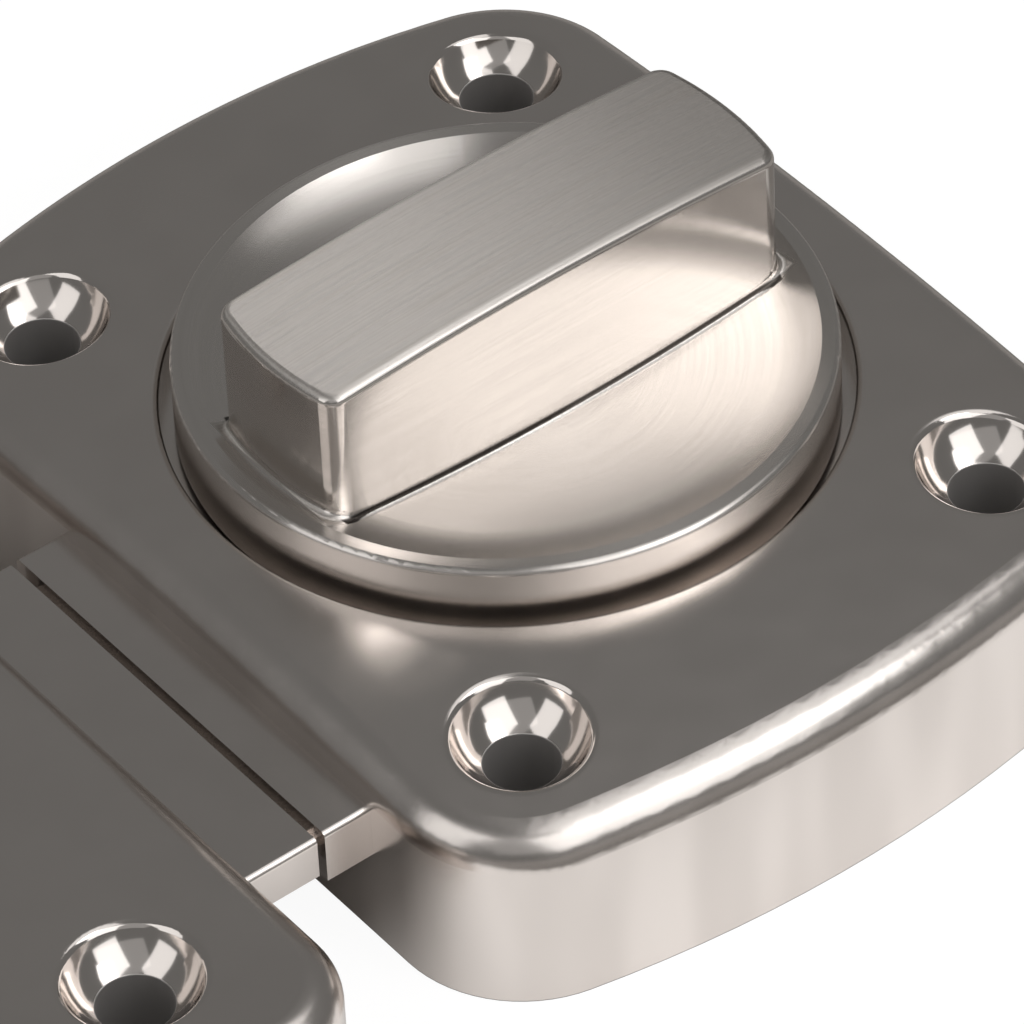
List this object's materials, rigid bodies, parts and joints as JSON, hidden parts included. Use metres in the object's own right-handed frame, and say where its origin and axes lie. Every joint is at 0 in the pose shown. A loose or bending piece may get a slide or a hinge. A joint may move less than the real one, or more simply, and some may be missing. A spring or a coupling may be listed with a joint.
{
  "type": "rotating door bolt",
  "caption": "Surface-mounted rotating door bolt: a turn knob on a crowned cast housing drives a flat sliding bolt into a separate cast keeper.",
  "frame": {"origin": "on the knob's axis at the back plane of the housing, which lies on the door", "axes": "+X along the bolt, from the keeper towards the housing, +Y along the housing's longer side, +Z out of the door"},
  "size_m": [0.0742, 0.062, 0.0247],
  "materials": {
    "satin_nickel_casting": "satin nickel plating brushed along the bar, polished in the countersinks",
    "steel_strip": "bright zinc plated, as stamped",
    "steel_turned": "bright zinc plated, turned",
    "spring_steel": "oiled bright wire and ball",
    "nylon": "natural moulded nylon"
  },
  "bodies": {
    "base": {"housing": "satin_nickel_casting", "back_plate": "steel_strip", "back_plate_screws": "steel_turned", "spindle_bush": "nylon", "thrust_washer": "nylon", "detent_ball": "spring_steel", "detent_spring": "spring_steel", "keeper": "satin_nickel_casting"},
    "knob_unit": {"knob": "satin_nickel_casting", "spindle": "steel_turned", "crank_plate": "steel_strip", "drive_pin": "steel_turned", "spindle_washer": "steel_turned", "spindle_screw": "steel_turned"},
    "sliding_bolt": {"bolt": "steel_strip"}
  },
  "joints": [
    {"name": "knob_turn", "type": "hinge", "parent": "base", "child": "knob_unit", "pos_m": [0, 0, 0], "axis": [0, 0, 1], "range_deg": [0, 90]},
    {"name": "bolt_slide", "type": "slide", "parent": "base", "child": "sliding_bolt", "axis": [1, 0, 0], "range_m": [0, 0.01132]}
  ],
  "couplings": [
    {"joint": "bolt_slide", "follows": "knob_turn", "m_per_rad": 0.0072025}
  ]
}
